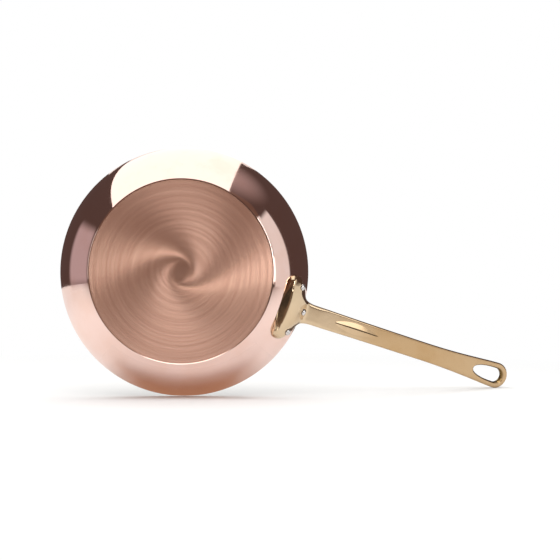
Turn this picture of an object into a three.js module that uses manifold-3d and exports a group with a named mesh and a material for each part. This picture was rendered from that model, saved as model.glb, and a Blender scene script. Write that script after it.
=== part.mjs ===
// A copper frying pan: a drawn copper body with a steel lining, a cast brass handle and three rivets.
// Millimetres, +Z up. The origin is the centre of the underside, and the handle runs along +X.

import * as THREE from "three";
import { ConvexGeometry } from "three/addons/geometries/ConvexGeometry.js";
import { mergeVertices } from "three/addons/utils/BufferGeometryUtils.js";
import Module from "manifold-3d";

// Body
const RIM_DIAMETER = 280;
const BASE_DIAMETER = 202;
const BODY_HEIGHT = 46;
const COPPER_THICKNESS = 1.8;
const LINING_THICKNESS = 0.2;
const BOND_GAP = 0.02;
const BASE_EDGE_RADIUS = 1.5;
const WALL_FOOT_SLOPE = THREE.MathUtils.degToRad(32);

// Handle flange, a thick pad that follows the wall. Its outline is measured from the outer rivets' line.
const SEAT_GAP = 0.3;
const FLANGE_THICKNESS = 7;
const FLANGE_WIDTH = 74;
const FLANGE_FOOT_HEIGHT = 9;
const FLANGE_RIM_DROP = 5;
const FLANGE_DROP = 22;
const FLANGE_BOW = 4;
const WING_CORNER = 9;
const WING_TIP_DROP = 7;
const WING_SHOULDER = 10;
const WING_WEB = 5;

// Handle arm, a straight strap that ends in a hanging eye
const ARM_SLOPE = THREE.MathUtils.degToRad(23.1);
const ARM_RIM_DROP = 8.5;
const ARM_REACH = 404;
const ARM_THICKNESS = 6.5;
const ARM_EDGE_ROUND = 1.2;
const ARM_ROOT_WIDTH = 23.4;
const ARM_WAIST_WIDTH = 21.6;
const ARM_WAIST_AT = 150;
const EYE_WIDTH = 31;
const EYE_TAPER = 110;
const EYE_WALL = 5.5;
const EYE_HOLE_LENGTH = 45.5;
const EYE_HOLE_FULLNESS = 0.6;

// Keel: a low leaf-shaped ridge under the arm, which thins out to a point at both ends
const KEEL_START = 43.5;
const KEEL_CREST = 28;
const KEEL_LENGTH = 62;
const KEEL_DEPTH = 1.3;
const KEEL_WIDTH = 12;
const KEEL_SINK = 0.4;

// Rivets: a broad head inside the pan, a small peened dome on the flange
const RIVET_SHANK_DIAMETER = 6;
const RIVET_HEAD_DIAMETER = 12;
const RIVET_HEAD_HEIGHT = 2.6;
const RIVET_DOME_DIAMETER = 7.4;
const RIVET_DOME_HEIGHT = 2.2;
const RIVET_RIM_DROP = 20.9;
const RIVET_PITCH = 52.4;
const RIVET_RISE = 13;
const RIVET_HOLE_GAP = 0.3;
const RIVET_HEAD_GAP = 0.4;

const ROUND_SEGMENTS = 64;
const WALL_STEPS = 7;

const wasm = await Module();
wasm.setup();

// The outer wall is one arc: it leaves the base edge at its foot slope and ends at the rim.
const baseRadius = BASE_DIAMETER / 2;
const rimRadius = RIM_DIAMETER / 2;
const footRadius = baseRadius + BASE_EDGE_RADIUS * Math.sin(WALL_FOOT_SLOPE);
const footHeight = BASE_EDGE_RADIUS * (1 - Math.cos(WALL_FOOT_SLOPE));
const wallChord = Math.hypot(rimRadius - footRadius, BODY_HEIGHT - footHeight);
const chordSlope = Math.atan2(BODY_HEIGHT - footHeight, rimRadius - footRadius);
const wallRadius = wallChord / (2 * Math.sin(chordSlope - WALL_FOOT_SLOPE));
const wallCentreR = footRadius - wallRadius * Math.sin(WALL_FOOT_SLOPE);
const wallCentreZ = footHeight + wallRadius * Math.cos(WALL_FOOT_SLOPE);

// Radius and height of the point of the wall that has this slope, moved out along the wall's normal.
function wallPoint(slope, out) {
  const r = wallCentreR + (wallRadius + out) * Math.sin(slope);
  const z = wallCentreZ - (wallRadius + out) * Math.cos(slope);
  return new THREE.Vector2(r, z);
}

function slopeAtHeight(z, out) {
  return Math.acos((wallCentreZ - z) / (wallRadius + out));
}

function wallCurve(fromSlope, toSlope, out) {
  const points = [];
  for (let i = 0; i <= WALL_STEPS; i += 1) {
    points.push(wallPoint(THREE.MathUtils.lerp(fromSlope, toSlope, i / WALL_STEPS), out));
  }
  return points;
}

// Points of the inside of a sheet that lies this deep under the outer face, from the floor to the rim.
function insideCurve(depth) {
  return wallCurve(slopeAtHeight(depth, -depth), slopeAtHeight(BODY_HEIGHT, -depth), -depth);
}

function outsideCurve() {
  const halfSlope = WALL_FOOT_SLOPE / 2;
  const edge = new THREE.Vector2(
    baseRadius + BASE_EDGE_RADIUS * Math.sin(halfSlope),
    BASE_EDGE_RADIUS * (1 - Math.cos(halfSlope)),
  );
  const rimSlope = 2 * chordSlope - WALL_FOOT_SLOPE;
  return [new THREE.Vector2(baseRadius, 0), edge, ...wallCurve(WALL_FOOT_SLOPE, rimSlope, 0)];
}

function turned(profile, segments = ROUND_SEGMENTS) {
  return new THREE.LatheGeometry(profile, segments).rotateX(Math.PI / 2);
}

function solid(geometry) {
  const flat = geometry.index ? geometry.toNonIndexed() : geometry;
  const bare = new THREE.BufferGeometry().setAttribute("position", flat.getAttribute("position"));
  const merged = mergeVertices(bare, 1e-4);
  const triVerts = new Uint32Array(merged.index.array);
  const vertProperties = merged.attributes.position.array;
  return new wasm.Manifold(new wasm.Mesh({ numProp: 3, vertProperties, triVerts }));
}

function geometryOf(body) {
  const { vertProperties, triVerts } = body.getMesh();
  const geometry = new THREE.BufferGeometry();
  geometry.setAttribute("position", new THREE.BufferAttribute(vertProperties, 3));
  geometry.setIndex(new THREE.BufferAttribute(triVerts, 1));
  geometry.computeVertexNormals();
  return geometry;
}

// Rivets stand square to the wall: the outer pair level with each other, the middle one higher up.
const sheetDepth = COPPER_THICKNESS + BOND_GAP + LINING_THICKNESS;
const rivetLength = sheetDepth + SEAT_GAP + FLANGE_THICKNESS;
const flangeFace = SEAT_GAP + FLANGE_THICKNESS;
const wingSlope = slopeAtHeight(BODY_HEIGHT - RIVET_RIM_DROP, 0);
const wingAzimuth = Math.asin(RIVET_PITCH / 2 / wallPoint(wingSlope, flangeFace).x);
const centreSlope = wingSlope + RIVET_RISE / wallRadius;
const rivetSeats = [
  { name: "rivet_left", slope: wingSlope, azimuth: wingAzimuth },
  { name: "rivet_centre", slope: centreSlope, azimuth: 0 },
  { name: "rivet_right", slope: wingSlope, azimuth: -wingAzimuth },
];

// Frame whose origin is on the wall's outer face and whose Z points out along the wall's normal.
function wallFrame(slope, azimuth) {
  const { x: r, y: z } = wallPoint(slope, 0);
  const across = new THREE.Vector3(0, 1, 0);
  const upWall = new THREE.Vector3(Math.cos(slope), 0, Math.sin(slope));
  const outward = new THREE.Vector3(Math.sin(slope), 0, -Math.cos(slope));
  const frame = new THREE.Matrix4().makeBasis(across, upWall, outward).setPosition(r, 0, z);
  return frame.premultiply(new THREE.Matrix4().makeRotationZ(azimuth));
}

function rivetHole({ slope, azimuth }) {
  const radius = RIVET_SHANK_DIAMETER / 2 + RIVET_HOLE_GAP;
  const hole = new THREE.CylinderGeometry(radius, radius, 4 * rivetLength, 16).rotateX(Math.PI / 2);
  return solid(hole.applyMatrix4(wallFrame(slope, azimuth)));
}

const rivetHoles = rivetSeats.map(rivetHole);

function drilled(body) {
  return rivetHoles.reduce((rest, hole) => rest.subtract(hole), body);
}

// Body: the lining is a thin sheet bonded to the inside of the copper.
const onAxis = (z) => new THREE.Vector2(0, z);
const copperInside = insideCurve(COPPER_THICKNESS);
const liningBack = insideCurve(COPPER_THICKNESS + BOND_GAP);
const liningFace = insideCurve(sheetDepth);

const copperProfile = [
  onAxis(0),
  ...outsideCurve(),
  ...copperInside.toReversed(),
  onAxis(COPPER_THICKNESS),
];
const liningProfile = [
  onAxis(COPPER_THICKNESS + BOND_GAP),
  ...liningBack,
  ...liningFace.toReversed(),
  onAxis(sheetDepth),
];
const copperShell = drilled(solid(turned(copperProfile)));
const steelLining = drilled(solid(turned(liningProfile)));

// Room that the body and the seat gap take up, with the bowl counted as full.
const seatCurve = wallCurve(
  slopeAtHeight(0, SEAT_GAP),
  slopeAtHeight(BODY_HEIGHT, SEAT_GAP),
  SEAT_GAP,
);
const bodyRoom = solid(turned([onAxis(0), ...seatCurve, onAxis(BODY_HEIGHT)]));

// Flange: a ring that follows the wall, cut to the outline that the wall shows when looked at squarely.
const flangeTop = BODY_HEIGHT - FLANGE_RIM_DROP;
const flangeBack = wallCurve(
  slopeAtHeight(FLANGE_FOOT_HEIGHT, SEAT_GAP),
  slopeAtHeight(flangeTop, SEAT_GAP),
  SEAT_GAP,
);
const flangeFront = wallCurve(
  slopeAtHeight(FLANGE_FOOT_HEIGHT, flangeFace),
  slopeAtHeight(flangeTop, SEAT_GAP),
  flangeFace,
);
const flangeRing = solid(turned([...flangeFront, ...flangeBack.toReversed(), flangeFront[0]]));

function flangeOutline() {
  const half = FLANGE_WIDTH / 2;
  const neck = ARM_ROOT_WIDTH / 2;
  const corner = half - WING_CORNER;
  const cornerUp = FLANGE_BOW - FLANGE_DROP;
  const outline = new THREE.Shape();
  outline.moveTo(0, -FLANGE_DROP);
  outline.quadraticCurveTo(corner / 2, -FLANGE_DROP, corner, cornerUp);
  outline.quadraticCurveTo(half, cornerUp, half, -WING_TIP_DROP);
  outline.quadraticCurveTo(half, 0, corner - WING_CORNER / 3, WING_SHOULDER);
  outline.quadraticCurveTo(neck + WING_WEB, RIVET_RISE + WING_WEB, neck, 2 * RIVET_RISE);
  const right = outline.getPoints(4);
  const left = right.slice(1).map((point) => new THREE.Vector2(-point.x, point.y));
  return new THREE.Shape([...right, ...left.toReversed()]);
}

const flangeCutDepth = 4 * FLANGE_THICKNESS;
const flangeCut = new THREE.ExtrudeGeometry(flangeOutline(), { depth: flangeCutDepth, bevelEnabled: false });
flangeCut.translate(0, 0, -flangeCutDepth / 2).applyMatrix4(wallFrame(wingSlope, 0));
const flange = flangeRing.intersect(solid(flangeCut));

// Arm: its own frame starts on the wall, with X along the strap and Z up out of it.
const armStart = wallPoint(slopeAtHeight(BODY_HEIGHT - ARM_RIM_DROP, 0), 0);
const armFrame = new THREE.Matrix4()
  .makeRotationY(-ARM_SLOPE)
  .setPosition(armStart.x, 0, armStart.y);
const armEnd = (ARM_REACH - armStart.x) / Math.cos(ARM_SLOPE);
const armBack = -2 * ARM_THICKNESS;
const eyeRadius = EYE_WIDTH / 2;
const eyeAt = armEnd - eyeRadius;

// One side of the strap, from the root to the start of the round end.
function armSide() {
  const root = ARM_ROOT_WIDTH / 2;
  const waist = ARM_WAIST_WIDTH / 2;
  const taperStart = eyeAt - EYE_TAPER;
  const side = new THREE.Path();
  side.moveTo(armBack, root);
  side.lineTo(0, root);
  side.quadraticCurveTo(ARM_WAIST_AT / 2, waist, Math.min(ARM_WAIST_AT, taperStart), waist);
  side.bezierCurveTo(eyeAt - EYE_TAPER / 2, waist, eyeAt - EYE_TAPER / 4, eyeRadius - 1, eyeAt, eyeRadius);
  return side.getPoints(6);
}

function armOutline() {
  const side = armSide();
  const round = new THREE.Path().absarc(eyeAt, 0, eyeRadius, Math.PI / 2, -Math.PI / 2, true).getPoints(8);
  const otherSide = side.map((point) => new THREE.Vector2(point.x, -point.y)).toReversed();
  return new THREE.Shape([...side, ...round.slice(1, -1), ...otherSide]);
}

// Hanging hole: a round towards the end, drawn in along full sides to a blunt point towards the pan.
function eyeHole() {
  const round = eyeRadius - EYE_WALL;
  const roundAt = armEnd - EYE_WALL - round;
  const point = armEnd - EYE_WALL - EYE_HOLE_LENGTH;
  const fullAt = THREE.MathUtils.lerp(roundAt, point, EYE_HOLE_FULLNESS);
  const blunt = EYE_HOLE_FULLNESS * round;
  const hole = new THREE.Path();
  hole.absarc(roundAt, 0, round, -Math.PI / 2, Math.PI / 2, false);
  hole.bezierCurveTo(fullAt, round, point, blunt, point, 0);
  hole.bezierCurveTo(point, -blunt, fullAt, -round, roundAt, -round);
  return new THREE.Path(hole.getPoints(8));
}

const armShape = armOutline();
armShape.holes.push(eyeHole());
const armStrap = new THREE.ExtrudeGeometry(armShape, {
  depth: ARM_THICKNESS - 2 * ARM_EDGE_ROUND,
  bevelThickness: ARM_EDGE_ROUND,
  bevelSize: ARM_EDGE_ROUND,
  bevelOffset: -ARM_EDGE_ROUND,
  bevelSegments: 2,
});
armStrap.translate(0, 0, ARM_EDGE_ROUND - ARM_THICKNESS / 2);

// The keel is widest and deepest at its crest, and its two sides meet there in a ridge.
const keelHalf = KEEL_WIDTH / 2;
const keelInside = KEEL_SINK - ARM_THICKNESS / 2;
const keelCrest = KEEL_START + KEEL_CREST;
const keel = new ConvexGeometry([
  new THREE.Vector3(KEEL_START, 0, keelInside),
  new THREE.Vector3(keelCrest, -keelHalf, keelInside),
  new THREE.Vector3(keelCrest, keelHalf, keelInside),
  new THREE.Vector3(keelCrest, 0, -ARM_THICKNESS / 2 - KEEL_DEPTH),
  new THREE.Vector3(KEEL_START + KEEL_LENGTH, 0, keelInside),
]);

const handleArm = [armStrap, keel].map((geometry) => solid(geometry.applyMatrix4(armFrame)));
const handleBlank = handleArm.reduce((whole, piece) => whole.add(piece), flange);
const handle = drilled(handleBlank.subtract(bodyRoom));

// Rivet: one turned profile from the crown of the inside head to the crown of the peened dome.
function domePoints(radius, height, at) {
  const points = [];
  for (let i = 0; i <= 3; i += 1) {
    const turn = (i / 3) * (Math.PI / 2);
    points.push(new THREE.Vector2(radius * Math.cos(turn), at + height * Math.sin(turn)));
  }
  points[3].x = 0;
  return points;
}

function rivetGeometry() {
  const shank = RIVET_SHANK_DIAMETER / 2;
  const headAt = -sheetDepth - RIVET_HEAD_GAP;
  const domeAt = flangeFace + SEAT_GAP;
  const head = domePoints(RIVET_HEAD_DIAMETER / 2, -RIVET_HEAD_HEIGHT, headAt).toReversed();
  const dome = domePoints(RIVET_DOME_DIAMETER / 2, RIVET_DOME_HEIGHT, domeAt);
  const profile = [
    ...head,
    new THREE.Vector2(shank, headAt),
    new THREE.Vector2(shank, domeAt),
    ...dome,
  ];
  return turned(profile, 20);
}

const copper = new THREE.MeshStandardMaterial({ color: 0xc9806a, roughness: 0.12, metalness: 1 });
const steel = new THREE.MeshStandardMaterial({ color: 0xc4c6c8, roughness: 0.3, metalness: 1 });
const brass = new THREE.MeshStandardMaterial({ color: 0xc9a86a, roughness: 0.15, metalness: 1 });
const rivetSteel = new THREE.MeshStandardMaterial({ color: 0xd2d4d6, roughness: 0.2, metalness: 1 });

const pan = new THREE.Group();

function addPiece(name, geometry, material) {
  const mesh = new THREE.Mesh(geometry, material.clone());
  mesh.name = name;
  pan.add(mesh);
}

addPiece("copper_shell", geometryOf(copperShell), copper);
addPiece("steel_lining", geometryOf(steelLining), steel);
addPiece("handle", geometryOf(handle), brass);
rivetSeats.forEach(({ name, slope, azimuth }) => {
  addPiece(name, rivetGeometry().applyMatrix4(wallFrame(slope, azimuth)), rivetSteel);
});

export default pan;
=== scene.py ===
# A copper frying pan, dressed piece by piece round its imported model. Metres, +Z up, handle along +X.

import math

import bpy
from mathutils import Matrix, Vector


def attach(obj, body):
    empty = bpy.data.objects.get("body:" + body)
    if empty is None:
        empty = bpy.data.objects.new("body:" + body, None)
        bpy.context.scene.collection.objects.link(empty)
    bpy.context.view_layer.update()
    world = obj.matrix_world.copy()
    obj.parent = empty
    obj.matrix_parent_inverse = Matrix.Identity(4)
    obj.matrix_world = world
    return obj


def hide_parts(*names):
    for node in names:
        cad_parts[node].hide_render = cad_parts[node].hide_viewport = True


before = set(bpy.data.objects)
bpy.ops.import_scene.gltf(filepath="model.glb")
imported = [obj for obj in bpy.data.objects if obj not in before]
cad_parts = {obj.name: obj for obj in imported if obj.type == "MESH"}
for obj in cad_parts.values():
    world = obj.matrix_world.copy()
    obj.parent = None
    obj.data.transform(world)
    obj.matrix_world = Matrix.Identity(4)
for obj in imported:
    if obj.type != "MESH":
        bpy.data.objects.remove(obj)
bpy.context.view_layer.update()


# Copper shell
# The body is drawn from one disc of 1.8 mm copper, with a flat bottom and a flared wall.
# The wall is polished to a mirror, and the underside is brushed in circles on a turntable.
BASE_RADIUS = 0.101
RIM_RADIUS = 0.140
BODY_HEIGHT = 0.046
COPPER_THICKNESS = 0.0018
BASE_EDGE_RADIUS = 0.0015
BASE_EDGE_STEPS = 6
POLISHED_EDGE = 0.0008
WALL_FOOT_SLOPE = math.radians(32)
WALL_STEPS = 28
RIM_ROUND = 0.0003
RIVET_RIM_DROP = 0.0209
RIVET_PITCH = 0.0524
RIVET_RISE = 0.013
RIVET_SHANK_RADIUS = 0.003
RIVET_HOLE_GAP = 0.0003
SEAT_GAP = 0.0003
FLANGE_THICKNESS = 0.007
ROUND_STEPS = 256
SHARP_ANGLE = math.radians(35)
BASE_RING = 0.6
FLAT_HEIGHT = BASE_EDGE_RADIUS / 100
FLAT_FACING = 0.99
DRILL_LENGTH = 5 * FLANGE_THICKNESS
DRILL_STEPS = 48
SAME_POINT = 1e-6

foot_r = BASE_RADIUS + BASE_EDGE_RADIUS * math.sin(WALL_FOOT_SLOPE)
foot_z = BASE_EDGE_RADIUS * (1 - math.cos(WALL_FOOT_SLOPE))
chord = math.hypot(RIM_RADIUS - foot_r, BODY_HEIGHT - foot_z)
chord_slope = math.atan2(BODY_HEIGHT - foot_z, RIM_RADIUS - foot_r)
rim_slope = 2 * chord_slope - WALL_FOOT_SLOPE
wall_radius = chord / (2 * math.sin(chord_slope - WALL_FOOT_SLOPE))
wall_centre_r = foot_r - wall_radius * math.sin(WALL_FOOT_SLOPE)
wall_centre_z = foot_z + wall_radius * math.cos(WALL_FOOT_SLOPE)


def wall_point(slope, out):
    """The point of the wall's outer face with this slope, moved out along the wall's normal."""
    reach = wall_radius + out
    return Vector((wall_centre_r + reach * math.sin(slope), 0, wall_centre_z - reach * math.cos(slope)))


def slope_at(height, out):
    return math.acos((wall_centre_z - height) / (wall_radius + out))


def wall_curve(start, end, out):
    """Points up the wall, from one slope to another."""
    turn = (end - start) / WALL_STEPS
    return [wall_point(start + turn * i, out) for i in range(WALL_STEPS + 1)]


def inside_curve(depth):
    """Points of a face this deep under the outer one, from the floor of the bowl to its rim."""
    return wall_curve(slope_at(depth, -depth), slope_at(BODY_HEIGHT, -depth), -depth)


def on_axis(height):
    return Vector((0, 0, height))


class Drawing:
    """A line drawn vertex by vertex in edit mode, then spun round the Z axis, filled to a slab or wrapped."""

    def __init__(self, points):
        """Starts from a small plane merged to one point, which is moved and extruded along the line."""
        bpy.ops.object.select_all(action="DESELECT")
        bpy.ops.mesh.primitive_plane_add(size=0.001)
        bpy.ops.object.mode_set(mode="EDIT")
        bpy.ops.mesh.select_all(action="SELECT")
        bpy.ops.mesh.merge(type="CENTER")
        bpy.ops.transform.translate(value=points[0])
        for here, there in zip(points, points[1:]):
            bpy.ops.mesh.extrude_region_move(TRANSFORM_OT_translate={"value": there - here})
        bpy.ops.mesh.select_all(action="SELECT")

    def spun(self, name, steps=ROUND_STEPS):
        bpy.ops.mesh.spin(steps=steps, angle=2 * math.pi, center=(0, 0, 0), axis=(0, 0, 1))
        return self.closed(name)

    def slab(self, name, thickness):
        bpy.ops.mesh.edge_face_add()
        bpy.ops.mesh.extrude_region_move(TRANSFORM_OT_translate={"value": (0, 0, thickness)})
        return self.closed(name)

    def hull(self, name, cuts):
        bpy.ops.mesh.convex_hull()
        bpy.ops.mesh.subdivide(number_cuts=cuts)
        return self.closed(name)

    def closed(self, name):
        bpy.ops.mesh.select_all(action="SELECT")
        bpy.ops.mesh.remove_doubles(threshold=SAME_POINT)
        bpy.ops.mesh.normals_make_consistent(inside=False)
        bpy.ops.object.mode_set(mode="OBJECT")
        piece = bpy.context.object
        piece.name = name
        piece.data.name = name
        return piece


def cut(piece, cutter, operation="DIFFERENCE"):
    """Cuts one solid by another, which is used up."""
    bpy.context.view_layer.objects.active = piece
    boolean = piece.modifiers.new("cut", "BOOLEAN")
    boolean.operation = operation
    boolean.solver = "EXACT"
    boolean.object = cutter
    bpy.ops.object.modifier_apply(modifier=boolean.name)
    bpy.data.objects.remove(cutter)


def smooth(piece):
    """Shades a piece smooth, and leaves its sharp edges crisp."""
    bpy.ops.object.select_all(action="DESELECT")
    piece.select_set(True)
    bpy.context.view_layer.objects.active = piece
    bpy.ops.object.shade_smooth_by_angle(angle=SHARP_ANGLE)


def put(piece, matrix):
    """Moves a piece to its place and leaves the place in its mesh."""
    bpy.ops.object.select_all(action="DESELECT")
    piece.select_set(True)
    bpy.context.view_layer.objects.active = piece
    piece.matrix_world = matrix
    bpy.ops.object.transform_apply(location=True, rotation=True, scale=True)


def base_edge():
    """Points round the small radius where the flat bottom turns up into the wall."""
    centre = Vector((BASE_RADIUS, 0, BASE_EDGE_RADIUS))
    points = []
    for i in range(BASE_EDGE_STEPS):
        turn = WALL_FOOT_SLOPE * i / BASE_EDGE_STEPS
        points.append(centre + BASE_EDGE_RADIUS * Vector((math.sin(turn), 0, -math.cos(turn))))
    return points


def rim_softened(outside, inside):
    """Joins the tops of two wall curves by a flat rim with softened corners."""
    outer, inner = outside[-1], inside[-1]
    across = (inner - outer).normalized() * RIM_ROUND
    corners = [outer.lerp(outside[-2], RIM_ROUND / (outer - outside[-2]).length), outer + across]
    corners += [inner - across, inner.lerp(inside[-2], RIM_ROUND / (inner - inside[-2]).length)]
    return [*outside[:-1], *corners, *reversed(inside[:-1])]


brushed_edge = Vector((BASE_RADIUS - POLISHED_EDGE, 0, 0))
flat_bottom = [on_axis(0), Vector((BASE_RING * BASE_RADIUS, 0, 0)), brushed_edge]
outside_face = [*base_edge(), *wall_curve(WALL_FOOT_SLOPE, rim_slope, 0)]
shell_profile = [
    *flat_bottom,
    *rim_softened(outside_face, inside_curve(COPPER_THICKNESS)),
    on_axis(COPPER_THICKNESS),
]
copper = Drawing(shell_profile).spun("drawn_copper_shell")


# Three rivet holes go through the wall behind the handle's flange, square to the wall.
def wall_frame(slope, azimuth):
    """A frame on the wall: X across it, Y up it and Z out of it."""
    place = wall_point(slope, 0)
    sine, cosine = math.sin(slope), math.cos(slope)
    frame_rows = Matrix(((0, cosine, sine, place.x), (1, 0, 0, 0), (0, sine, -cosine, place.z), (0, 0, 0, 1)))
    return Matrix.Rotation(azimuth, 4, "Z") @ frame_rows


flange_face = SEAT_GAP + FLANGE_THICKNESS
wing_slope = slope_at(BODY_HEIGHT - RIVET_RIM_DROP, 0)
wing_azimuth = math.asin(RIVET_PITCH / 2 / wall_point(wing_slope, flange_face).x)
rivet_seats = {
    "left": wall_frame(wing_slope, wing_azimuth),
    "centre": wall_frame(wing_slope + RIVET_RISE / wall_radius, 0),
    "right": wall_frame(wing_slope, -wing_azimuth),
}


def rivet_drills():
    """Three drills in one object, one at each rivet's seat."""
    drills = []
    for seat in rivet_seats.values():
        bpy.ops.object.select_all(action="DESELECT")
        hole_radius = RIVET_SHANK_RADIUS + RIVET_HOLE_GAP
        bpy.ops.mesh.primitive_cylinder_add(vertices=DRILL_STEPS, radius=hole_radius, depth=DRILL_LENGTH)
        drills.append(bpy.context.object)
        put(drills[-1], seat)
    for drill in drills:
        drill.select_set(True)
    bpy.ops.object.join()
    return bpy.context.object


cut(copper, rivet_drills())
smooth(copper)


class Shade:
    """An output socket of a material. Sums written on it add Math nodes to that material."""

    def __init__(self, tree, socket=None):
        self.tree = tree
        self.socket = socket

    def node(self, kind, settings=None, sockets=None, output=0):
        """Adds a node: its settings first, then the values or links of its sockets."""
        made = self.tree.nodes.new(kind)
        for name, value in (settings or {}).items():
            setattr(made, name, value)
        for name, value in (sockets or {}).items():
            if isinstance(value, Shade):
                self.tree.links.new(value.socket, made.inputs[name])
            else:
                made.inputs[name].default_value = value
        return Shade(self.tree, made.outputs[output] if made.outputs else None)

    def maths(self, operation, *values):
        return self.node("ShaderNodeMath", {"operation": operation}, dict(enumerate(values)))

    def vector(self, operation, *values, output=0):
        return self.node("ShaderNodeVectorMath", {"operation": operation}, dict(enumerate(values)), output)

    def blend(self, factor, first, second):
        """A colour between two colours."""
        sockets = {"Factor": factor, 6: first, 7: second}
        return self.node("ShaderNodeMix", {"data_type": "RGBA"}, sockets, 2)

    def fade(self, start, end, low=0.0, high=1.0):
        """This value, eased from low at start to high at end."""
        sockets = {"Value": self, "From Min": start, "From Max": end, "To Min": low, "To Max": high}
        return self.node("ShaderNodeMapRange", {"interpolation_type": "SMOOTHSTEP"}, sockets)

    def noise(self, place, scale, detail=2.0, roughness=0.5):
        sockets = {"Vector": place, "Scale": scale, "Detail": detail, "Roughness": roughness}
        return self.node("ShaderNodeTexNoise", {}, sockets)

    def __add__(self, other):
        return self.maths("ADD", self, other)

    __radd__ = __add__

    def __sub__(self, other):
        return self.maths("SUBTRACT", self, other)

    def __rsub__(self, other):
        return self.maths("SUBTRACT", other, self)

    def __mul__(self, other):
        return self.maths("MULTIPLY", self, other)

    __rmul__ = __mul__

    def __truediv__(self, other):
        return self.maths("DIVIDE", self, other)

    def __rtruediv__(self, other):
        return self.maths("DIVIDE", other, self)


def new_finish(name):
    """A new material and a start for its nodes."""
    material = bpy.data.materials.new(name)
    material.use_nodes = True
    material.node_tree.nodes.clear()
    return material, Shade(material.node_tree)


def show(shader):
    """Makes a shader the surface of its material."""
    shader.node("ShaderNodeOutputMaterial", {}, {"Surface": shader})


def metal(shade, sockets):
    return shade.node("ShaderNodeBsdfPrincipled", {}, {"Metallic": 1.0, **sockets})


def off_axis(shade, place):
    """The level offset of a place from the pan's axis."""
    return shade.vector("MULTIPLY", place, (1, 1, 0))


def distance_off_axis(shade, place):
    return shade.vector("LENGTH", off_axis(shade, place), output=1)


def direction_off_axis(shade, place):
    return shade.vector("NORMALIZE", off_axis(shade, place))


def rings(shade, outward, across, breaks, pitch):
    """Fine marks that run round the axis, a pitch apart. The fewer the breaks, the longer the marks."""
    round_part = shade.vector("MULTIPLY", outward, (breaks, breaks, 0))
    across_part = shade.node("ShaderNodeCombineXYZ", {}, {"Z": across / pitch})
    return shade.noise(shade.vector("ADD", round_part, across_part), 1.0, detail=3.0)


# Polished wall: a near mirror with faint smears of polish and hairlines left by the buffing wheel.
POLISHED_COPPER = (0.875, 0.645, 0.575, 1)
WARM_COPPER = (0.855, 0.605, 0.52, 1)
SMEAR_SCALE = 26.0
SMEAR_SHOWS = (0.42, 0.72)
HAIRLINE_BREAKS = 3.0
HAIRLINE_PITCH = 0.0007
HAIRLINE_DEPTH = 0.00005
HAIRLINE_STRENGTH = 0.03
MIRROR_ROUGHNESS = 0.035
SMEAR_ROUGHNESS = 0.035
HAIRLINE_ROUGHNESS = 0.03

polished_copper, shade = new_finish("polished_copper")
place = shade.node("ShaderNodeTexCoord", output="Object")
outward = direction_off_axis(shade, place)
height = shade.node("ShaderNodeSeparateXYZ", {}, {"Vector": place}, "Z")
smears = shade.noise(place, SMEAR_SCALE, detail=4.0, roughness=0.6).fade(*SMEAR_SHOWS)
hairlines = rings(shade, outward, height, HAIRLINE_BREAKS, HAIRLINE_PITCH)
hairline_bump = {"Strength": HAIRLINE_STRENGTH, "Distance": HAIRLINE_DEPTH, "Height": hairlines}
polished_copper_sockets = {
    "Base Color": shade.blend(smears, POLISHED_COPPER, WARM_COPPER),
    "Roughness": MIRROR_ROUGHNESS + SMEAR_ROUGHNESS * smears + HAIRLINE_ROUGHNESS * hairlines,
    "Normal": shade.node("ShaderNodeBump", {}, hairline_bump),
}
show(metal(shade, polished_copper_sockets))

# Brushed underside: the sides of the grooves tip the light across themselves, both ways, by several angles.
# The brush path winds in towards the centre, so the direction across it turns away from the radius there.
BRUSHED_COPPER = (0.86, 0.54, 0.418, 1)
DEEP_BRUSHED_COPPER = (0.74, 0.435, 0.327, 1)
GROOVE_TILTS = {0.06: 1.0, 0.14: 1.0, 0.22: 0.9, 0.30: 0.8, 0.38: 0.6}
WINDING = 0.0312
WINDING_AT_EDGE = 0.315
WINDING_CORE = 0.012
FINE_LINE_BREAKS = 0.7
FINE_LINE_PITCH = 0.0016
PASS_BREAKS = 0.3
PASS_PITCH = 0.0026
SMOOTH_CENTRE = 0.002
GROOVED_FROM = 0.022
LEAST_STEEPNESS = 0.985
LINE_STEEPNESS = 0.03
LINE_TONE_SHOWS = (0.35, 0.65)
BRUSHED_ROUGHNESS = 0.245
PASS_ROUGHNESS = 0.03

brushed_copper, shade = new_finish("brushed_copper_underside")
place = shade.node("ShaderNodeTexCoord", output="Object")
radius = distance_off_axis(shade, place)
outward = direction_off_axis(shade, place)
fine_lines = rings(shade, outward, radius, FINE_LINE_BREAKS, FINE_LINE_PITCH)
passes = rings(shade, outward, radius, PASS_BREAKS, PASS_PITCH)
winding = WINDING / shade.maths("MAXIMUM", radius, WINDING_CORE) - WINDING_AT_EDGE
across_sockets = {"Vector": outward, "Angle": 0.0 - winding}
across_groove = shade.node("ShaderNodeVectorRotate", {"rotation_type": "Z_AXIS"}, across_sockets)
surface = shade.node("ShaderNodeNewGeometry", output="Normal")
grooved = radius.fade(SMOOTH_CENTRE, GROOVED_FROM)
steepness = grooved * (LEAST_STEEPNESS + LINE_STEEPNESS * fine_lines)
line_tone = 0.5 * fine_lines + 0.5 * passes
brushed_colour = shade.blend(line_tone.fade(*LINE_TONE_SHOWS), BRUSHED_COPPER, DEEP_BRUSHED_COPPER)
brushed_roughness = BRUSHED_ROUGHNESS + PASS_ROUGHNESS * passes


def groove_side(tilt):
    """Metal whose surface leans by a tilt across the grooves."""
    lean_sockets = {0: across_groove, "Scale": tilt * steepness}
    lean = shade.node("ShaderNodeVectorMath", {"operation": "SCALE"}, lean_sockets)
    leaning = shade.vector("NORMALIZE", shade.vector("ADD", surface, lean))
    sockets = {"Base Color": brushed_colour, "Roughness": brushed_roughness, "Normal": leaning}
    return metal(shade, sockets)


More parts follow.
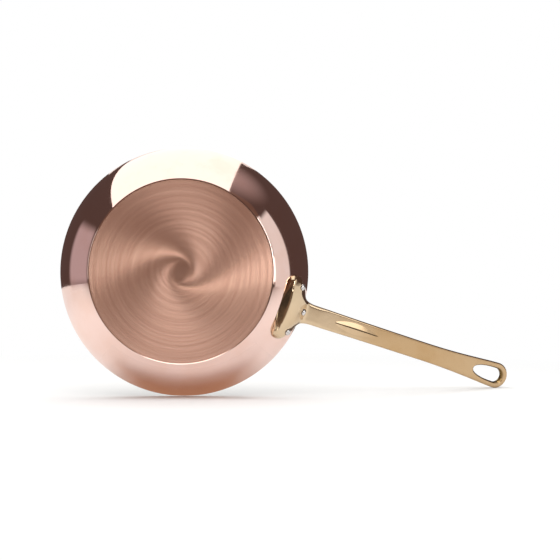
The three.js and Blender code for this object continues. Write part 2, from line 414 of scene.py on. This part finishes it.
brushed = None
share = 0.0
for tilt, amount in GROOVE_TILTS.items():
    for side in (tilt, -tilt):
        share += amount
        leaning = groove_side(side)
        mixed = {0: amount / share, 1: brushed, 2: leaning}
        brushed = shade.node("ShaderNodeMixShader", {}, mixed) if brushed else leaning
show(brushed)

copper.data.materials.append(polished_copper)
copper.data.materials.append(brushed_copper)
for face in copper.data.polygons:
    under = face.center.z < FLAT_HEIGHT and face.normal.z < -FLAT_FACING
    brushed_over = under and face.center.xy.length < BASE_RADIUS - POLISHED_EDGE
    face.material_index = 1 if brushed_over else 0
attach(copper, "root")
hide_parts("copper_shell")


# Steel lining
# A 0.2 mm stainless sheet is roll-bonded to the copper before the body is drawn, and is the cooking surface.
# It is left with the fine circular lines of its finishing pad.
LINING_THICKNESS = 0.0002
BOND_GAP = 0.00002
LINING_STEEL = (0.70, 0.69, 0.67, 1)
WORN_STEEL = (0.60, 0.59, 0.57, 1)
PAD_LINE_BREAKS = 5.0
PAD_LINE_PITCH = 0.0006
PAD_LINE_DEPTH = 0.0001
PAD_LINE_STRENGTH = 0.12
PATCH_SCALE = 14.0
PATCH_SHOWS = (0.35, 0.7)
SATIN_ROUGHNESS = 0.24
PAD_LINE_ROUGHNESS = 0.08
PATCH_ROUGHNESS = 0.06
SATIN_ANISOTROPY = 0.55

sheet_depth = COPPER_THICKNESS + BOND_GAP + LINING_THICKNESS
lining_back = inside_curve(COPPER_THICKNESS + BOND_GAP)
lining_face = inside_curve(sheet_depth)
lining_profile = [
    on_axis(COPPER_THICKNESS + BOND_GAP),
    *lining_back,
    *reversed(lining_face),
    on_axis(sheet_depth),
]
lining = Drawing(lining_profile).spun("bonded_steel_lining")
cut(lining, rivet_drills())
smooth(lining)

satin_steel, shade = new_finish("satin_steel")
place = shade.node("ShaderNodeTexCoord", output="Object")
radius = distance_off_axis(shade, place)
outward = direction_off_axis(shade, place)
pad_lines = rings(shade, outward, radius, PAD_LINE_BREAKS, PAD_LINE_PITCH)
patches = shade.noise(place, PATCH_SCALE, detail=4.0, roughness=0.6).fade(*PATCH_SHOWS)
pad_bump = {"Strength": PAD_LINE_STRENGTH, "Distance": PAD_LINE_DEPTH, "Height": pad_lines}
satin_sockets = {
    "Base Color": shade.blend(patches, LINING_STEEL, WORN_STEEL),
    "Roughness": SATIN_ROUGHNESS + PAD_LINE_ROUGHNESS * pad_lines + PATCH_ROUGHNESS * patches,
    "Anisotropic": SATIN_ANISOTROPY,
    "Normal": shade.node("ShaderNodeBump", {}, pad_bump),
}
show(metal(shade, satin_sockets))
lining.data.materials.append(satin_steel)
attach(lining, "root")
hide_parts("steel_lining")


# Brass handle
# One casting: a thick flange that hugs the wall, a straight arm with a low keel, and a hanging eye.
# It is linished and polished all over, and three rivets hold the flange to the body.
FLANGE_WIDTH = 0.074
FLANGE_FOOT_HEIGHT = 0.009
FLANGE_RIM_DROP = 0.005
FLANGE_DROP = 0.022
FLANGE_BOW = 0.004
WING_CORNER = 0.009
WING_TIP_DROP = 0.007
WING_SHOULDER = 0.015
WING_WEB = 0.006
FLANGE_ROUND = 0.0055
SHOULDER_FALL = 0.017
FLANGE_LAYERS = 9
FLANGE_STEPS = 128
ARM_SLOPE = math.radians(23.1)
ARM_RIM_DROP = 0.0085
ARM_REACH = 0.404
ARM_THICKNESS = 0.0065
ARM_ROOT_WIDTH = 0.0234
ROOT_FLARE = 0.003
ROOT_FLARE_LENGTH = 0.016
ROOT_FLARE_HOLDS = 0.35
ROOT_FLARE_ENDS = 0.55
ROOT_STEPS = 16
ARM_WAIST_WIDTH = 0.0216
ARM_WAIST_AT = 0.150
WAIST_STEPS = 12
EYE_WIDTH = 0.031
EYE_TAPER = 0.110
EYE_SWELLS_AT = 0.75
EYE_SWELL_LAG = 0.001
EYE_SIDE_STEPS = 24
EYE_ROUND_STEPS = 40
EYE_WALL = 0.0055
EYE_HOLE_LENGTH = 0.0455
EYE_HOLE_FULLNESS = 0.6
ARM_ROUND = 0.0017
ARM_ROUND_DEPTH = 0.0022
EYE_HOLE_ROUND = 0.0026
EYE_HOLE_WAIST = 0.0016
EYE_FAR_WAIST = 0.0022
EYE_FAR_FLARE = 0.0025
ARM_LAYERS = 4
KEEL_START = 0.0435
KEEL_LENGTH = 0.062
KEEL_DEPTH = 0.0013
KEEL_WIDTH = 0.013
KEEL_SWELLS_AT = (0.30, 0.62)
KEEL_FULLNESS = 1.33
KEEL_STEPS = 16
KEEL_CUTS = 3
GRINDING = 0.002
CASTING_GRAIN = 0.0006
CASTING_SOFTENING = 12
ROOT_SOFTENING = 60
FLANGE_SOFTENING = 30
SOFTENING_FACTOR = 0.5
SOFT_FLANGE_END = 0.012
SOFT_FLANGE_FADE = 0.006
SOFT_ROOT_START = -0.006
SOFT_ROOT_END = 0.034
SOFT_ROOT_FADE = 0.01
SOFT_ROOT_HALF_WIDTH = 0.018
SOFT_ROOT_TOP = 0.002


def bezier(*control, steps=8):
    """Points of a Bezier curve, without its first control point."""
    points = []
    for i in range(1, steps + 1):
        row = [Vector((x, y, 0)) for x, y in control]
        while len(row) > 1:
            row = [a.lerp(b, i / steps) for a, b in zip(row, row[1:])]
        points.append(row[0])
    return points


def mirrored(points):
    """The same points on the other side of the X axis, in reverse."""
    return [Vector((p.x, -p.y, 0)) for p in reversed(points)]


def arc(at, radius, start, end, steps):
    """Points of an arc round a place on the X axis."""
    points = []
    for i in range(steps + 1):
        turn = start + (end - start) * i / steps
        points.append(Vector((at + radius * math.cos(turn), radius * math.sin(turn), 0)))
    return points


# The flange is a ring that follows the wall, cut to the outline that the wall shows when looked at squarely.
# Its edges are rounded and its shoulders slope: each layer further out from the wall is drawn in more.
flange_top = slope_at(BODY_HEIGHT - FLANGE_RIM_DROP, SEAT_GAP)
flange_back = wall_curve(slope_at(FLANGE_FOOT_HEIGHT, -GRINDING), flange_top, -GRINDING)


def flange_outline(inset, fall):
    """The outline up the wall along X and across it along Y, drawn in all round, with lowered shoulders."""
    half = FLANGE_WIDTH / 2 - inset
    neck = ARM_ROOT_WIDTH / 2 - inset
    corner = half - WING_CORNER
    corner_up = FLANGE_BOW - FLANGE_DROP
    shoulder = (WING_SHOULDER - fall, corner - WING_CORNER / 3)
    tip = (-WING_TIP_DROP, half)
    side = [
        *bezier((-FLANGE_DROP, 0), (-FLANGE_DROP, corner / 2), (corner_up, corner)),
        *bezier((corner_up, corner), (corner_up, half), tip),
        *bezier(tip, (0, half), shoulder),
        *bezier(shoulder, (RIVET_RISE + WING_WEB - fall, neck + WING_WEB), (2 * RIVET_RISE, neck)),
    ]
    return [Vector((-FLANGE_DROP, 0, 0)), *side, *mirrored(side)]


def flange_layer(rounding):
    """The flange up to one step of its rounded edge, from nought at the side to a quarter turn at the top."""
    inset = FLANGE_ROUND * (1 - math.cos(rounding))
    face = flange_face - FLANGE_ROUND * (1 - math.sin(rounding))
    front = wall_curve(slope_at(FLANGE_FOOT_HEIGHT, face), flange_top, face)
    layer = Drawing([*front, *reversed(flange_back), front[0]]).spun("flange_layer", FLANGE_STEPS)
    depth = 4 * FLANGE_THICKNESS
    fall = SHOULDER_FALL * math.sin(rounding)
    outline = Drawing(flange_outline(inset, fall)).slab("flange_outline", depth)
    up_the_wall = Matrix(((0, 1, 0, 0), (1, 0, 0, 0), (0, 0, -1, depth / 2), (0, 0, 0, 1)))
    put(outline, wall_frame(wing_slope, 0) @ up_the_wall)
    cut(layer, outline, "INTERSECT")
    return layer


flange_layers = [flange_layer(math.pi / 2 * i / FLANGE_LAYERS) for i in range(FLANGE_LAYERS + 1)]

# The arm is a strap in its own frame: X along it, Z out of its top. Its edges are rounded in layers too.
arm_start = wall_point(slope_at(BODY_HEIGHT - ARM_RIM_DROP, 0), 0)
arm_frame = Matrix.Translation(arm_start) @ Matrix.Rotation(-ARM_SLOPE, 4, "Y")
arm_end = (ARM_REACH - arm_start.x) / math.cos(ARM_SLOPE)
eye_at = arm_end - EYE_WIDTH / 2


def arm_outline(inset):
    root = ARM_ROOT_WIDTH / 2 - inset
    waist = ARM_WAIST_WIDTH / 2 - inset
    eye_radius = EYE_WIDTH / 2 - inset
    taper = eye_at - EYE_TAPER
    flare = root + ROOT_FLARE
    held = (ROOT_FLARE_HOLDS * ROOT_FLARE_LENGTH, flare)
    drawn_in = (ROOT_FLARE_ENDS * ROOT_FLARE_LENGTH, root)
    flare_end = (ROOT_FLARE_LENGTH, root)
    side = [
        Vector((-2 * ARM_THICKNESS, flare, 0)),
        Vector((0, flare, 0)),
        *bezier((0, flare), held, drawn_in, flare_end, steps=ROOT_STEPS),
        *bezier(flare_end, (ARM_WAIST_AT / 2, waist), (ARM_WAIST_AT, waist), steps=WAIST_STEPS),
        *bezier(
            (taper, waist),
            (taper + EYE_TAPER / 2, waist),
            (taper + EYE_SWELLS_AT * EYE_TAPER, eye_radius - EYE_SWELL_LAG),
            (eye_at, eye_radius),
            steps=EYE_SIDE_STEPS,
        ),
    ]
    end = arc(eye_at, eye_radius, math.pi / 2, -math.pi / 2, EYE_ROUND_STEPS)
    return [*side, *end[1:-1], *mirrored(side)]


def eye_hole(grow, far_wall):
    """A round towards the end, drawn in along full sides to a blunt point towards the pan, and grown."""
    half = EYE_WIDTH / 2 - EYE_WALL
    round_at = arm_end - EYE_WALL - half - far_wall
    point = arm_end - EYE_WALL - EYE_HOLE_LENGTH - grow
    full_at = round_at + (point - round_at) * EYE_HOLE_FULLNESS
    half += grow
    blunt = (point, EYE_HOLE_FULLNESS * half)
    far_round = arc(round_at, half, -math.pi / 2, math.pi / 2, EYE_ROUND_STEPS)
    side = bezier((round_at, half), (full_at, half), blunt, (point, 0), steps=EYE_SIDE_STEPS)
    return [*far_round, *side, *mirrored(side[:-1])]


def arm_layer(rounding):
    """The arm to one step of its rounded edges, from nought at the side to a quarter turn at the faces."""
    inset = ARM_ROUND * (1 - math.cos(rounding))
    sunk = ARM_ROUND_DEPTH * (1 - math.sin(rounding))
    layer = Drawing(arm_outline(inset)).slab("arm_layer", ARM_THICKNESS - 2 * sunk)
    grow = inset * EYE_HOLE_ROUND / ARM_ROUND - EYE_HOLE_WAIST
    far_wall = EYE_FAR_WAIST * math.cos(rounding) - EYE_FAR_FLARE * (1 - math.cos(rounding))
    hole = Drawing(eye_hole(grow, far_wall)).slab("eye_hole", 3 * ARM_THICKNESS)
    put(hole, Matrix.Translation((0, 0, -ARM_THICKNESS)))
    cut(layer, hole)
    put(layer, Matrix.Translation((0, 0, sunk - ARM_THICKNESS / 2)))
    return layer


arm_layers = [arm_layer(math.pi / 2 * i / ARM_LAYERS) for i in range(ARM_LAYERS + 1)]

# The parts run together in the mould: one skin over all of them, softened as a casting is.
to_arm = arm_frame.inverted()
for layer in flange_layers:
    put(layer, to_arm)
bpy.ops.object.select_all(action="DESELECT")
for part in (*arm_layers, *flange_layers):
    part.select_set(True)
handle = arm_layers[-1]
bpy.context.view_layer.objects.active = handle
bpy.ops.object.join()
handle.name = handle.data.name = "cast_brass_handle"
skin = handle.modifiers.new("skin", "REMESH")
skin.mode = "VOXEL"
skin.voxel_size = CASTING_GRAIN
bpy.ops.object.modifier_apply(modifier=skin.name)

root_group = handle.vertex_groups.new(name="root")
flange_group = handle.vertex_groups.new(name="flange")
for vertex in handle.data.vertices:
    along, aside, above = vertex.co
    if along < SOFT_FLANGE_END:
        weight = min(1.0, (SOFT_FLANGE_END - along) / SOFT_FLANGE_FADE)
        flange_group.add([vertex.index], weight, "REPLACE")
    near_arm = abs(aside) < SOFT_ROOT_HALF_WIDTH and above < SOFT_ROOT_TOP
    if near_arm and SOFT_ROOT_START < along < SOFT_ROOT_END:
        weight = min(1.0, (SOFT_ROOT_END - along) / SOFT_ROOT_FADE)
        root_group.add([vertex.index], weight, "REPLACE")
softenings = {"root": ROOT_SOFTENING, "flange": FLANGE_SOFTENING, "": CASTING_SOFTENING}
for group, rounds in softenings.items():
    soften = handle.modifiers.new("soften", "SMOOTH")
    soften.factor = SOFTENING_FACTOR
    soften.iterations = rounds
    soften.vertex_group = group
    bpy.ops.object.modifier_apply(modifier=soften.name)

# The keel is ground crisp: the hull of a ridge and two curved sides, with one slope on each side.
keel_points = []
keel_half = KEEL_WIDTH / 2
keel_swell = [(share * KEEL_LENGTH, KEEL_FULLNESS * keel_half) for share in KEEL_SWELLS_AT]
for along, half, _ in bezier((0, 0), *keel_swell, (KEEL_LENGTH, 0), steps=KEEL_STEPS):
    depth = KEEL_DEPTH * half / keel_half
    keel_points.append(Vector((KEEL_START + along, 0, -ARM_THICKNESS / 2 - depth)))
    for aside in (half, -half):
        keel_points.append(Vector((KEEL_START + along, aside, -ARM_THICKNESS / 2)))
        keel_points.append(Vector((KEEL_START + along, aside, 0)))
keel = Drawing(keel_points).hull("keel", KEEL_CUTS)
cut(handle, keel, "UNION")
put(handle, arm_frame)

# The seat is ground to the wall: the room of the body and the seat gap comes off, the bowl counted as full.
seat_curve = wall_curve(slope_at(0, SEAT_GAP), slope_at(BODY_HEIGHT, SEAT_GAP), SEAT_GAP)
body_room = Drawing([on_axis(0), *seat_curve, on_axis(BODY_HEIGHT)]).spun("body_room")
cut(handle, body_room)
cut(handle, rivet_drills())
smooth(handle)

# Polished brass: warm and clear, with the slow waviness of a hand-held polish, a few soft smears, and a
# painted darker reflection along the strap.
BRIGHT_BRASS = (0.68, 0.52, 0.345, 1)
DEEP_BRASS = (0.50, 0.32, 0.158, 1)
SHADED_DULL_BRASS = (0.17, 0.105, 0.036, 1)
PAINTED_CREST_REFLECTION = (0.06, 0.04, 0.02, 1)
TONE_SCALE = 38.0
TONE_SHOWS = (0.35, 0.75)
TONE_SHARE = 0.2
STRAP_DARKENS_FROM = 0.02
STRAP_DARK_BY = 0.13
EYE_LIGHTENS_FROM = 0.16
EYE_LIGHTER_BY = 0.26
STRAP_DARK_SHARE = 0.8
WAVE_SCALE = 85.0
HAIR_SCALE = 2600.0
HAIR_STRETCH = (0.15, 1.0, 1.0)
HAIR_HEIGHT = 0.02
POLISH_STRENGTH = 0.25
POLISH_DEPTH = 0.0004
BRASS_ROUGHNESS = 0.07
TONE_ROUGHNESS = 0.05
HAIR_ROUGHNESS = 0.04
DULL_ROUGHNESS = 0.12

polished_brass, shade = new_finish("polished_brass")
place = shade.node("ShaderNodeTexCoord", output="Object")
arm_sockets = {"Vector": place, "Location": arm_start, "Rotation": (0, -ARM_SLOPE, 0)}
arm_place = shade.node("ShaderNodeMapping", {"vector_type": "TEXTURE"}, arm_sockets)
along = shade.node("ShaderNodeSeparateXYZ", {}, {"Vector": arm_place}, "X")
aside = shade.node("ShaderNodeSeparateXYZ", {}, {"Vector": arm_place}, "Y")
above = shade.node("ShaderNodeSeparateXYZ", {}, {"Vector": arm_place}, "Z")
tone = shade.noise(place, TONE_SCALE, detail=4.0, roughness=0.55).fade(*TONE_SHOWS)
# The strap is painted darker and deeper in colour than the flange, and lighter again towards the eye: a
# painted darker reflection. The noise adds a tone that differs at random.
strap_darkening = along.fade(STRAP_DARKENS_FROM, STRAP_DARK_BY, 0.0, STRAP_DARK_SHARE)
towards_eye = along.fade(EYE_LIGHTENS_FROM, EYE_LIGHTER_BY, 1.0, STRAP_DARK_SHARE)
strap_shade_and_tone = strap_darkening * towards_eye + TONE_SHARE * tone
waves = shade.noise(place, WAVE_SCALE, detail=1.0)
hairs = shade.noise(shade.vector("MULTIPLY", place, HAIR_STRETCH), HAIR_SCALE, detail=2.0)
polish_height = waves + HAIR_HEIGHT * hairs
polish_bump = {"Strength": POLISH_STRENGTH, "Distance": POLISH_DEPTH, "Height": polish_height}

# The wheel doesn't reach the wall of the eye's hole, which stays dull and rougher. Its colour is painted much
# darker as well, a painted shade in the recess.
HOLE_MASK_END_MARGIN = 0.002
HOLE_MASK_FAR_FADE = 0.001
HOLE_MASK_ASIDE = (0.0102, 0.0110)
HOLE_MASK_ABOVE = (0.0022, 0.0030)
hole_end = arm_end - EYE_WALL
hole_start = hole_end - EYE_HOLE_LENGTH
hole_mask_end = hole_end + HOLE_MASK_END_MARGIN
aside_distance = shade.maths("ABSOLUTE", aside)
past_start = along.fade(hole_start - HOLE_MASK_END_MARGIN, hole_start)
before_end = along.fade(hole_mask_end, hole_mask_end + HOLE_MASK_FAR_FADE, 1.0, 0.0)
between_sides = aside_distance.fade(*HOLE_MASK_ASIDE, 1.0, 0.0)
between_faces = shade.maths("ABSOLUTE", above).fade(*HOLE_MASK_ABOVE, 1.0, 0.0)
in_hole = past_start * before_end * between_sides * between_faces

# The crest of the keel has a fine dark line painted along it, a painted dark reflection on the ground edge.
CREST_END_FADE = 0.001
CREST_CLEARANCE = 0.0002
CREST_HALF_WIDTH = (0.0003, 0.0008)
keel_end = KEEL_START + KEEL_LENGTH
arm_underside = -ARM_THICKNESS / 2
past_keel_start = along.fade(KEEL_START, KEEL_START + CREST_END_FADE)
before_keel_end = along.fade(keel_end - CREST_END_FADE, keel_end, 1.0, 0.0)
under_strap = above.fade(arm_underside - CREST_CLEARANCE, arm_underside, 1.0, 0.0)
on_ridge = aside_distance.fade(*CREST_HALF_WIDTH, 1.0, 0.0)
painted_crest_line = past_keel_start * before_keel_end * under_strap * on_ridge
shaded_and_toned_brass = shade.blend(strap_shade_and_tone, BRIGHT_BRASS, DEEP_BRASS)
polish_roughness = BRASS_ROUGHNESS + TONE_ROUGHNESS * tone + HAIR_ROUGHNESS * hairs
brass_sockets = {
    "Base Color": shade.blend(painted_crest_line, shade.blend(in_hole, shaded_and_toned_brass, SHADED_DULL_BRASS), PAINTED_CREST_REFLECTION),
    "Roughness": polish_roughness + DULL_ROUGHNESS * in_hole,
    "Normal": shade.node("ShaderNodeBump", {}, polish_bump),
}
show(metal(shade, brass_sockets))
handle.data.materials.append(polished_brass)
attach(handle, "root")
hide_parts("handle")


# Rivets
# Three steel rivets with a broad head inside the pan. Each is pushed out through lining, copper and flange,
# and its end is peened over to a small dome.
RIVET_HEAD_RADIUS = 0.006
RIVET_HEAD_HEIGHT = 0.0026
RIVET_DOME_RADIUS = 0.0037
RIVET_DOME_HEIGHT = 0.0022
RIVET_HEAD_GAP = 0.0004
RIVET_STEPS = 64
RIVET_STEEL = (0.70, 0.68, 0.67, 1)
DULL_RIVET_STEEL = (0.55, 0.53, 0.52, 1)
DOME_STEPS = 10
DENT_SCALE = 900.0
DENT_DEPTH = 0.0002
DENT_STRENGTH = 0.35
DULLED_SCALE = 420.0
DULLED_SHOWS = (0.4, 0.7)
RIVET_ROUGHNESS = 0.14
DULLED_ROUGHNESS = 0.12


def dome(radius, height, at):
    """Points from the edge of a dome up to its crown."""
    points = []
    for i in range(DOME_STEPS + 1):
        turn = math.pi / 2 * i / DOME_STEPS
        points.append(Vector((radius * math.cos(turn), 0, at + height * math.sin(turn))))
    points[-1].x = 0
    return points


head_at = -sheet_depth - RIVET_HEAD_GAP
dome_at = flange_face + SEAT_GAP
rivet_profile = [
    *reversed(dome(RIVET_HEAD_RADIUS, -RIVET_HEAD_HEIGHT, head_at)),
    Vector((RIVET_SHANK_RADIUS, 0, head_at)),
    Vector((RIVET_SHANK_RADIUS, 0, dome_at)),
    *dome(RIVET_DOME_RADIUS, RIVET_DOME_HEIGHT, dome_at),
]

peened_steel, shade = new_finish("peened_steel")
place = shade.node("ShaderNodeTexCoord", output="Object")
dents = shade.noise(place, DENT_SCALE, detail=1.0)
dulled = shade.noise(place, DULLED_SCALE, detail=3.0).fade(*DULLED_SHOWS)
dent_bump = {"Strength": DENT_STRENGTH, "Distance": DENT_DEPTH, "Height": dents}
rivet_sockets = {
    "Base Color": shade.blend(dulled, RIVET_STEEL, DULL_RIVET_STEEL),
    "Roughness": RIVET_ROUGHNESS + DULLED_ROUGHNESS * dulled,
    "Normal": shade.node("ShaderNodeBump", {}, dent_bump),
}
show(metal(shade, rivet_sockets))

for side, seat in rivet_seats.items():
    rivet = Drawing(rivet_profile).spun("peened_rivet_" + side, RIVET_STEPS)
    put(rivet, seat)
    smooth(rivet)
    rivet.data.materials.append(peened_steel)
    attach(rivet, "root")
    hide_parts("rivet_" + side)


# Stage
# The pan stands on its rim with its underside to the camera and the eye of the handle on the floor.
# Right, up and towards the camera are the studio's own axes.
PAN_TURN = math.radians(18.65)
right = Vector((math.cos(PAN_TURN), -math.sin(PAN_TURN), 0))
up = Vector((-math.sin(PAN_TURN), -math.cos(PAN_TURN), 0))
towards = Vector((0, 0, -1))
studio = Matrix((right, up, towards)).transposed().to_4x4()
FLOOR_LEVEL = -0.1402
FLOOR_SIZE = 8
FLOOR_WHITENS = (0.3, 0.9)
PAPER_WHITE = (0.9, 0.9, 0.9, 1)


def white_where_seen(shade):
    """One for camera, mirror and clear rays, and nought for the rays that light other things."""
    path = shade.node("ShaderNodeLightPath")
    outputs = path.socket.node.outputs
    names = ("Is Camera Ray", "Is Glossy Ray", "Is Transmission Ray")
    camera_ray, glossy_ray, clear_ray = [Shade(shade.tree, outputs[name]) for name in names]
    return camera_ray + glossy_ray + clear_ray


def card(name, centre, across, along):
    """A flat card in the studio: its middle and its two sides, each given as right, up and towards."""
    bpy.ops.object.select_all(action="DESELECT")
    bpy.ops.mesh.primitive_plane_add(size=1)
    made = bpy.context.object
    made.name = name
    across, along = Vector(across), Vector(along)
    sides = Matrix((across, along, across.cross(along).normalized())).transposed().to_4x4()
    put(made, studio @ Matrix.Translation(centre) @ sides)
    return made


def glow(name, colour, strength, soft):
    """A card's light, the same all over, or fading into its rounded edges when it is soft."""
    material, shade = new_finish(name)
    light = shade.node("ShaderNodeEmission", {}, {"Color": (*colour, 1), "Strength": strength})
    if soft:
        from_middle = shade.vector("SUBTRACT", shade.node("ShaderNodeUVMap"), (0.5, 0.5, 0))
        to_edge = shade.vector("ABSOLUTE", from_middle)
        past_flat = shade.vector("SUBTRACT", to_edge, (0.5 - soft, 0.5 - soft, 0))
        into_edge = shade.vector("MAXIMUM", past_flat, (0, 0, 0))
        cover = shade.vector("LENGTH", into_edge, output=1).fade(0.0, soft, 1.0, 0.0)
        clear = shade.node("ShaderNodeBsdfTransparent")
        light = shade.node("ShaderNodeMixShader", {}, {0: cover, 1: clear, 2: light})
    show(light)
    return material


def only_mirrored(made):
    """Leaves a card for the metal to mirror, unseen by the camera and lighting nothing else."""
    made.visible_camera = False
    made.visible_shadow = False
    made.visible_diffuse = False
    return made


def reflected_card(name, centre, across, along, colour, strength=1.0, soft=0.0):
    """A lit card that only the metal mirrors."""
    made = card(name, centre, across, along)
    made.data.materials.append(glow(name, colour, strength, soft))
    return only_mirrored(made)


# White floor, seen from its upper side only. It takes the pan's shadow, and turns pure white further off.
floor = card("floor", (0, FLOOR_LEVEL, 0), (0, 0, FLOOR_SIZE), (FLOOR_SIZE, 0, 0))
white_floor, shade = new_finish("white_floor")
place = shade.node("ShaderNodeTexCoord", output="Object")
far_off = shade.vector("LENGTH", place, output=1).fade(*FLOOR_WHITENS)
seen = white_where_seen(shade)
lit = shade.node("ShaderNodeBsdfDiffuse", {}, {"Color": PAPER_WHITE})
bright = shade.node("ShaderNodeEmission", {}, {"Color": (1, 1, 1, 1), "Strength": 1.0})
paper = shade.node("ShaderNodeMixShader", {}, {0: far_off * seen, 1: lit, 2: bright})
behind = shade.node("ShaderNodeNewGeometry", output="Backfacing")
clear = shade.node("ShaderNodeBsdfTransparent")
show(shade.node("ShaderNodeMixShader", {}, {0: behind, 1: paper, 2: clear}))
floor.data.materials.append(white_floor)

# A softbox and a brown panel overhead, reflectors and lamps at the sides, and a grey panel on the left.
WHITE = (1, 1, 1)
SOFT_WHITE = (0.88, 0.87, 0.87)
WARM_WHITE = (1, 0.985, 0.96)
GREY_PINK = (0.515, 0.417, 0.437)
MAUVE_BROWN = (0.40, 0.31, 0.31)
softbox = reflected_card("softbox", (-0.229, 0.78, -0.32), (1.162, 0, 0), (0, -0.2, 1.44), WARM_WHITE, 1.6)
softbox.visible_diffuse = True
top_fill = reflected_card("top_fill", (0, 1.2, 0.5), (2.4, 0, 0), (0, 0, 2.4), WHITE, 2.1)
top_fill.visible_glossy = False
top_fill.visible_diffuse = True
reflected_card("right_reflector", (0.90, 0.24, 0.20), (0, 0, 0.40), (0, 1.12, 0.37), SOFT_WHITE, 1.0, 0.1)
reflected_card("leaf_lamp", (0.89, 0.03, 0.58), (0, 0, 0.60), (0, 0.26, 0), WHITE, 2.0)
reflected_card("edge_lamp", (0.91, 0.44, 0.74), (0, 0, 0.34), (0, 0.56, 0), WHITE, 8.0)
reflected_card("sector_lamp", (0.91, 0.06, 1.65), (0, 0, 1.5), (0, 0.36, 0), WARM_WHITE, 3.7)
reflected_card("foot_reflector", (0.905, 0.44, 0.49), (0, 0, 0.19), (0, 0.56, 0), SOFT_WHITE)
reflected_card("far_left_lamp", (-0.91, 0.17, 1.65), (0, 0, 1.5), (0, 0.44, 0), WARM_WHITE, 1.4)
reflected_card("left_panel", (-0.90, 0.15, -0.03), (0, 0, 0.68), (0, 0.62, 0), GREY_PINK, 1.0, 0.2)
reflected_card("brown_panel", (0.42, 0.90, -0.05), (1.3, 0, 0), (0, 0, 1.3), MAUVE_BROWN, 1.0, 0.5)


# A lamp, a dark card, a painted pool of copper bounce light and a painted shadow behind the eye lie on the
# floor, one just above another.
TABLE_BROWN = (0.04, 0.03, 0.02)
COPPER_TAN = (0.43, 0.245, 0.155)
SHADOW_BROWN = (0.10, 0.06, 0.04)


def floor_card(lift, middle_right, middle_towards, width, length):
    """The place of a card on the floor: its middle and its two sides."""
    return (middle_right, FLOOR_LEVEL + lift, middle_towards), (0, 0, length), (width, 0, 0)


reflected_card("floor_lamp", *floor_card(0.004, -0.035, 0.46, 0.16, 0.64), WHITE, 2.1, 0.15)
reflected_card("table_edge", *floor_card(0.003, 0.705, 0.64, 0.47, 0.60), TABLE_BROWN)
reflected_card("warm_bounce", *floor_card(0.001, 0, -0.06, 0.28, 0.13), COPPER_TAN, 1.0, 0.4)
reflected_card("eye_shadow", *floor_card(0.001, 0.30, -0.29, 0.34, 0.26), SHADOW_BROWN, 1.0, 0.2)

# The dark room round them, which is lighter and browner behind the camera.
DARK = (0.095, 0.062, 0.056)
BROWN = (0.155, 0.092, 0.07)
CAMERA_BLACK = (0.05, 0.04, 0.035)
reflected_card("flag", (-0.875, 0.64, -0.18), (-0.70, 0, 0), (0.74, 0, -1.42), DARK)
reflected_card("dark_left", (-1.3, 0.6, -1.7), (0, 0, 4.6), (0, 1.6, 0), DARK)
reflected_card("dark_right", (1.3, 0.6, -1.7), (0, 0, 4.6), (0, 1.6, 0), DARK)
reflected_card("dark_back", (0.85, 0.6, -0.8), (0.9, 0, 0), (0, 1.6, 0), DARK)
reflected_card("dark_ceiling", (0, 1.4, -0.4), (2.7, 0, 0), (0, 0, 2.0), DARK)
reflected_card("brown_left", (-1.3, 0.6, 1.65), (0, 0, 2.1), (0, 1.6, 0), BROWN)
reflected_card("brown_right", (1.3, 0.6, 1.65), (0, 0, 2.1), (0, 1.6, 0), BROWN)
reflected_card("brown_ceiling", (0, 1.4, 1.65), (2.7, 0, 0), (0, 0, 2.1), BROWN)
reflected_card("brown_front", (0, 0.6, 2.7), (2.7, 0, 0), (0, 1.6, 0), BROWN)
reflected_card("dark_camera", (0.1, 0, 2.6), (1.0, 0, 0), (0, 1.0, 0), CAMERA_BLACK, 1.0, 0.3)

# A dark sheet lies on the floor in front, unseen by the camera, and thins out towards the pan: painted shade,
# for the floor growing dimmer further in front as the metal mirrors it.
SHADE_SHEET_BROWN = (0.23, 0.16, 0.125, 1)
SHADE_SHEET_LIFT = 0.002
SHADE_SHEET_THINNING = 0.5
shade_sheet = only_mirrored(card("painted_floor_shade", (0, FLOOR_LEVEL + SHADE_SHEET_LIFT, 1.3), (0, 0, 2.8), (2.7, 0, 0)))
shade_sheet_finish, shade = new_finish("thinning_floor_shade")
place = shade.node("ShaderNodeTexCoord", output="Object")
cover = (0.0 - shade.node("ShaderNodeSeparateXYZ", {}, {"Vector": place}, "Z")).fade(0.0, SHADE_SHEET_THINNING)
thin = shade.node("ShaderNodeBsdfTransparent")
dark = shade.node("ShaderNodeEmission", {}, {"Color": SHADE_SHEET_BROWN, "Strength": 1.0})
show(shade.node("ShaderNodeMixShader", {}, {0: cover, 1: thin, 2: dark}))
shade_sheet.data.materials.append(shade_sheet_finish)

# The air of the studio is white where it is seen or mirrored, and a soft grey light elsewhere.
AIR_LIGHT = (0.35, 0.35, 0.35, 1)
AIR_WHITE = (1, 1, 1, 1)
world = bpy.data.worlds.new("studio_air")
bpy.context.scene.world = world
world.use_nodes = True
world.node_tree.nodes.clear()
shade = Shade(world.node_tree)
air = shade.blend(white_where_seen(shade), AIR_LIGHT, AIR_WHITE)
background = shade.node("ShaderNodeBackground", {}, {"Color": air, "Strength": 1.0})
background.node("ShaderNodeOutputWorld", {}, {"Surface": background})

# Camera level with the pan's middle, square to its underside, with the pan left of the centre.
CAMERA_DISTANCE = 1.25683
CAMERA_RIGHT = 0.107927
CAMERA_UP = -0.0092168
LENS = 74.24
SENSOR_WIDTH = 36
lens = bpy.data.cameras.new("camera")
lens.lens = LENS
lens.sensor_width = SENSOR_WIDTH
camera = bpy.data.objects.new("camera", lens)
bpy.context.scene.collection.objects.link(camera)
camera.matrix_world = studio @ Matrix.Translation((CAMERA_RIGHT, CAMERA_UP, CAMERA_DISTANCE))
bpy.context.scene.camera = camera
bpy.context.scene.view_settings.view_transform = "Standard"
